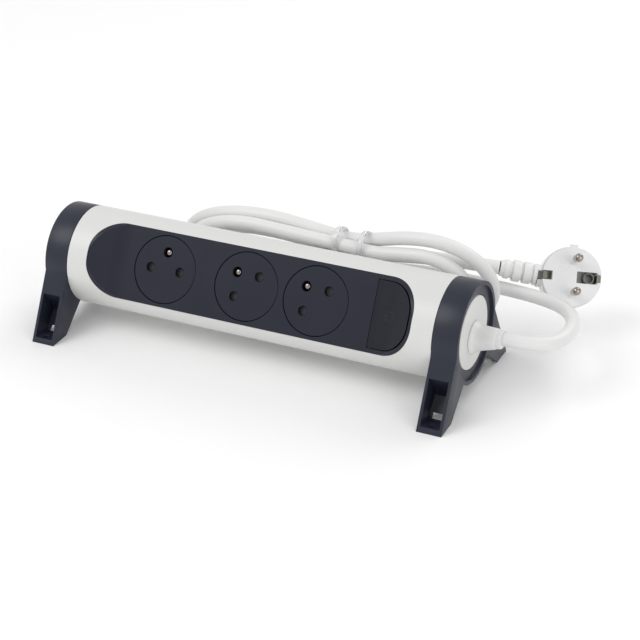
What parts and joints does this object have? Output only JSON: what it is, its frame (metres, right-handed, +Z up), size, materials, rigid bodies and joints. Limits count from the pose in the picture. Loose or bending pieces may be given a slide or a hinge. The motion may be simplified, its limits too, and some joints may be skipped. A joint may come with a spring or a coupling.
{
  "type": "rotating power strip",
  "caption": "Round power strip turning between two footed brackets, with sprung earthed sockets, a switch and a tied mains lead.",
  "frame": {"origin": "on the standing surface, under the middle of the barrel's axis", "axes": "+X along the barrel towards the lead's exit, +Y to the back, +Z up; the socket face looks forward and 29 degrees up"},
  "size_m": [0.3067, 0.1547, 0.0701],
  "materials": {
    "white_plastic": "moulded white plastic, satin gloss",
    "dark_plastic": "moulded dark blue-grey plastic, fine satin grain",
    "white_pvc": "extruded white soft plastic sheath",
    "clear_band": "clear flexible plastic band",
    "sleeve_plastic": "white moulded insulation",
    "nickel": "bright nickel plate",
    "brass": "pressed brass strip",
    "spring_steel": "drawn spring wire",
    "zinc_steel": "zinc plated steel",
    "inner_plastic": "unpainted heat-resistant moulding",
    "shutter_plastic": "natural moulding",
    "ring_rubber": "black rubber",
    "brown_pvc": "brown core insulation",
    "blue_pvc": "blue core insulation",
    "green_pvc": "green and yellow core insulation"
  },
  "bodies": {
    "stand": {"left_bracket": "dark_plastic", "right_bracket": "dark_plastic", "power_cord": "white_pvc", "cord_hank": "white_pvc", "plug_cord": "white_pvc", "cord_tie_left": "clear_band", "cord_tie_right": "clear_band", "plug_body": "white_plastic", "plug_relief": "white_pvc", "plug_pin_upper": "nickel", "plug_pin_lower": "nickel", "plug_pin_sleeves": "sleeve_plastic", "plug_earth_clips": "nickel", "plug_earth_contact": "nickel"},
    "switch_button": {"switch_button": "dark_plastic"},
    "switch_plunger": {"switch_plunger": "shutter_plastic"},
    "socket_disc_1": {"socket_disc_1": "dark_plastic"},
    "shutter_1": {"shutter_1": "shutter_plastic"},
    "socket_disc_2": {"socket_disc_2": "dark_plastic"},
    "shutter_2": {"shutter_2": "shutter_plastic"},
    "socket_disc_3": {"socket_disc_3": "dark_plastic"},
    "shutter_3": {"shutter_3": "shutter_plastic"},
    "barrel": {"front_shell": "white_plastic", "rear_shell": "white_plastic", "left_end_cap": "white_plastic", "right_end_cap": "white_plastic", "face_panel": "dark_plastic", "strain_relief": "white_pvc", "lead_sheath_end": "white_pvc", "earth_pin_1": "nickel", "earth_pin_2": "nickel", "earth_pin_3": "nickel", "live_busbar": "brass", "neutral_busbar": "brass", "earth_busbar": "brass", "live_contact_1": "brass", "live_contact_2": "brass", "live_contact_3": "brass", "neutral_contact_1": "brass", "neutral_contact_2": "brass", "neutral_contact_3": "brass", "disc_spring_1": "spring_steel", "disc_spring_2": "spring_steel", "disc_spring_3": "spring_steel", "shell_screws": "zinc_steel", "carrier_screws": "zinc_steel", "clamp_screws": "zinc_steel", "contact_carrier": "inner_plastic", "switch_body": "inner_plastic", "cord_clamp_base": "inner_plastic", "cord_clamp_bar": "inner_plastic", "left_friction_ring": "ring_rubber", "right_friction_ring": "ring_rubber", "live_wire": "brown_pvc", "switched_wire": "brown_pvc", "neutral_wire": "blue_pvc", "earth_wire": "green_pvc"}
  },
  "joints": [
    {"name": "barrel_turn", "type": "hinge", "parent": "stand", "child": "barrel", "pos_m": [0, 0, 0.0375], "axis": [-1, 0, 0], "range_deg": [-29, 61]},
    {"name": "disc_1_push", "type": "slide", "parent": "barrel", "child": "socket_disc_1", "axis": [0, 0.8746, -0.4848], "range_m": [0, 0.012], "stiffness_N_per_m": 800, "springref_m": -0.006, "deforming": ["disc_spring_1"]},
    {"name": "shutter_1_turn", "type": "hinge", "parent": "socket_disc_1", "child": "shutter_1", "pos_m": [-0.055, -0.01356, 0.04501], "axis": [0, -0.8746, 0.4848], "range_deg": [0, 40], "stiffness_Nm_per_rad": 0.002, "springref_deg": -11.46},
    {"name": "disc_2_push", "type": "slide", "parent": "barrel", "child": "socket_disc_2", "axis": [0, 0.8746, -0.4848], "range_m": [0, 0.012], "stiffness_N_per_m": 800, "springref_m": -0.006, "deforming": ["disc_spring_2"]},
    {"name": "shutter_2_turn", "type": "hinge", "parent": "socket_disc_2", "child": "shutter_2", "pos_m": [-0.00265, -0.01356, 0.04501], "axis": [0, -0.8746, 0.4848], "range_deg": [0, 40], "stiffness_Nm_per_rad": 0.002, "springref_deg": -11.46},
    {"name": "disc_3_push", "type": "slide", "parent": "barrel", "child": "socket_disc_3", "axis": [0, 0.8746, -0.4848], "range_m": [0, 0.012], "stiffness_N_per_m": 800, "springref_m": -0.006, "deforming": ["disc_spring_3"]},
    {"name": "shutter_3_turn", "type": "hinge", "parent": "socket_disc_3", "child": "shutter_3", "pos_m": [0.0405, -0.01356, 0.04501], "axis": [0, -0.8746, 0.4848], "range_deg": [0, 40], "stiffness_Nm_per_rad": 0.002, "springref_deg": -11.46},
    {"name": "button_press", "type": "hinge", "parent": "barrel", "child": "switch_button", "pos_m": [0.0762, -0.01566, 0.04618], "axis": [0, 0.4848, 0.8746], "range_deg": [0, 3.5], "stiffness_Nm_per_rad": 0.6, "springref_deg": -1.72},
    {"name": "plunger_push", "type": "slide", "parent": "barrel", "child": "switch_plunger", "axis": [0, 0.8746, -0.4848], "range_m": [0, 0.0008]}
  ],
  "couplings": [
    {"joint": "plunger_push", "follows": "button_press", "m_per_rad": 0.0118}
  ]
}
